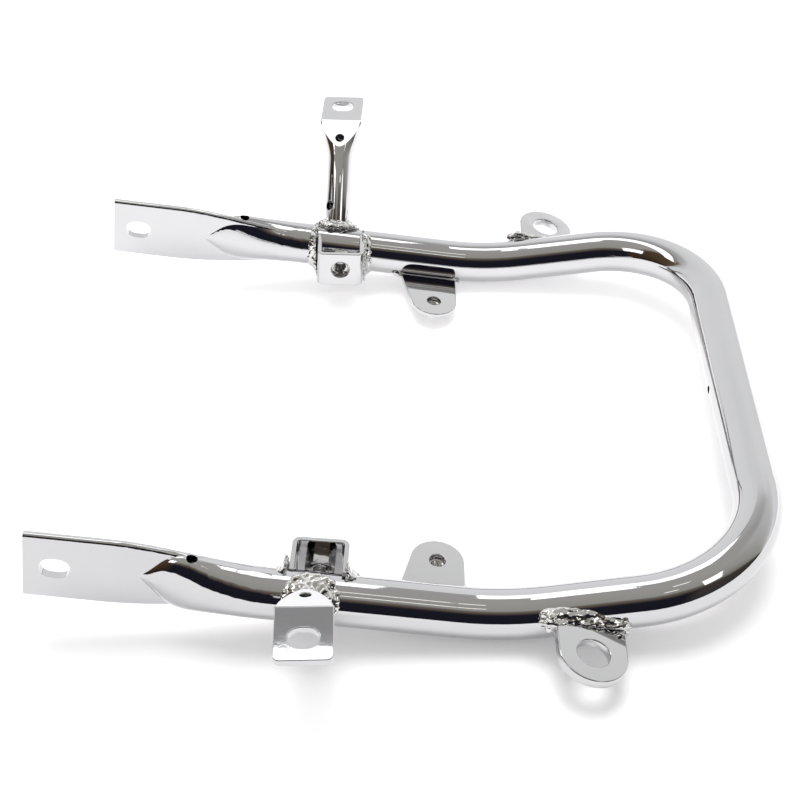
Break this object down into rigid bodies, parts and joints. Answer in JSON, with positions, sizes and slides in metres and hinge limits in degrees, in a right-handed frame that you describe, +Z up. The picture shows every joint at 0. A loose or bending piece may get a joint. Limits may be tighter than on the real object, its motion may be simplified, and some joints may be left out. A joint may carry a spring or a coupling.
{
  "type": "atv rear grab bar",
  "caption": "Chromed bent-tube rear grab bar for a quad, with pressed slotted ends, angled stays, nut brackets, fender tabs and thick lugs welded along its legs.",
  "frame": {"origin": "under the middle of the bar's box, at the height of the surface that it lies on", "axes": "+X to the vehicle's rear, from the pressed ends to the crossbar; +Y to the vehicle's right; +Z up"},
  "size_m": [0.376, 0.4734, 0.081],
  "materials": {
    "tube_chrome": "mirror",
    "plate_chrome": "bright",
    "nut_chrome": "bright",
    "weld_chrome": "rippled bright"
  },
  "bodies": {
    "root": {"main_tube": "tube_chrome", "left_stay": "tube_chrome", "right_stay": "tube_chrome", "left_nut_bracket": "plate_chrome", "right_nut_bracket": "plate_chrome", "left_bracket_nut": "nut_chrome", "right_bracket_nut": "nut_chrome", "left_fender_tab": "plate_chrome", "right_fender_tab": "plate_chrome", "left_tab_nut": "nut_chrome", "right_tab_nut": "nut_chrome", "left_lug": "plate_chrome", "right_lug": "plate_chrome", "left_stay_weld": "weld_chrome", "right_stay_weld": "weld_chrome", "left_bracket_weld_front": "weld_chrome", "right_bracket_weld_front": "weld_chrome", "left_bracket_weld_rear": "weld_chrome", "right_bracket_weld_rear": "weld_chrome", "left_tab_weld_front": "weld_chrome", "right_tab_weld_front": "weld_chrome", "left_tab_weld_rear": "weld_chrome", "right_tab_weld_rear": "weld_chrome", "left_lug_weld": "weld_chrome", "right_lug_weld": "weld_chrome"}
  },
  "joints": []
}
